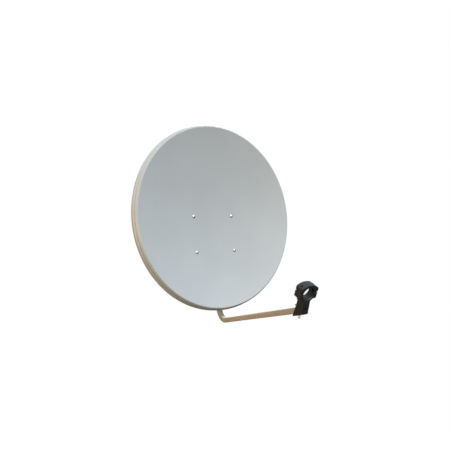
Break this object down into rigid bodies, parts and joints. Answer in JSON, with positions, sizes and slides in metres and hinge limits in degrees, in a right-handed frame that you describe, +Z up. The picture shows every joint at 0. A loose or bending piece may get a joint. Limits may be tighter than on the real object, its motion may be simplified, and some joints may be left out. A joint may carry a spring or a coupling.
{
  "type": "satellite dish",
  "caption": "Offset satellite dish: pressed steel reflector on a folded steel bracket, bent square feed arm with a two-part LNB collar, and an elevation mount that clamps to a mast.",
  "frame": {"origin": "centre of the mast clamp, on the mast's axis", "axes": "+Z up along the mast, the dish looks along -Y, +X to the right as seen from in front"},
  "size_m": [0.773, 0.8675, 0.8722],
  "materials": {
    "reflector_paint": "light grey powder coat with a fine orange peel",
    "arm_paint": "warm light grey powder coat",
    "zinc_sheet": "galvanised sheet with a soft spangle",
    "zinc_fastener": "bright zinc plate",
    "black_plastic": "moulded black plastic, lightly textured"
  },
  "bodies": {
    "mast_mount": {"mast_bracket": "zinc_sheet", "clamp_bolts": "zinc_fastener", "pivot_bolt": "zinc_fastener", "pivot_washer": "zinc_fastener", "pivot_nut": "zinc_fastener", "elevation_bolts": "zinc_fastener", "elevation_washers": "zinc_fastener", "elevation_nuts": "zinc_fastener"},
    "mast_jaw": {"mast_jaw": "zinc_sheet", "clamp_washers": "zinc_fastener", "clamp_nuts": "zinc_fastener"},
    "lnb_cap": {"lnb_cap": "black_plastic", "cap_screws": "zinc_fastener"},
    "dish": {"reflector": "reflector_paint", "reflector_bolts": "zinc_fastener", "reflector_washers": "zinc_fastener", "reflector_nuts": "zinc_fastener", "back_bracket": "zinc_sheet", "feed_arm": "arm_paint", "arm_end_plug": "black_plastic", "arm_bolts": "zinc_fastener", "arm_spacers": "zinc_fastener", "arm_washers": "zinc_fastener", "arm_nuts": "zinc_fastener", "lnb_holder": "black_plastic", "cap_nuts": "zinc_fastener", "holder_bolt": "zinc_fastener", "holder_washer": "zinc_fastener", "holder_nut": "zinc_fastener", "pivot_sleeve": "zinc_fastener"}
  },
  "joints": [
    {"name": "elevation_tilt", "type": "hinge", "parent": "mast_mount", "child": "dish", "pos_m": [0, -0.09, 0.03], "axis": [-1, 0, 0], "range_deg": [-14.8, 25.2]},
    {"name": "jaw_slide", "type": "slide", "parent": "mast_mount", "child": "mast_jaw", "axis": [0, 1, 0], "range_m": [-0.01, 0.02]},
    {"name": "cap_lift", "type": "slide", "parent": "dish", "child": "lnb_cap", "axis": [0, -0.3665, 0.9304], "range_m": [0, 0.03]}
  ]
}
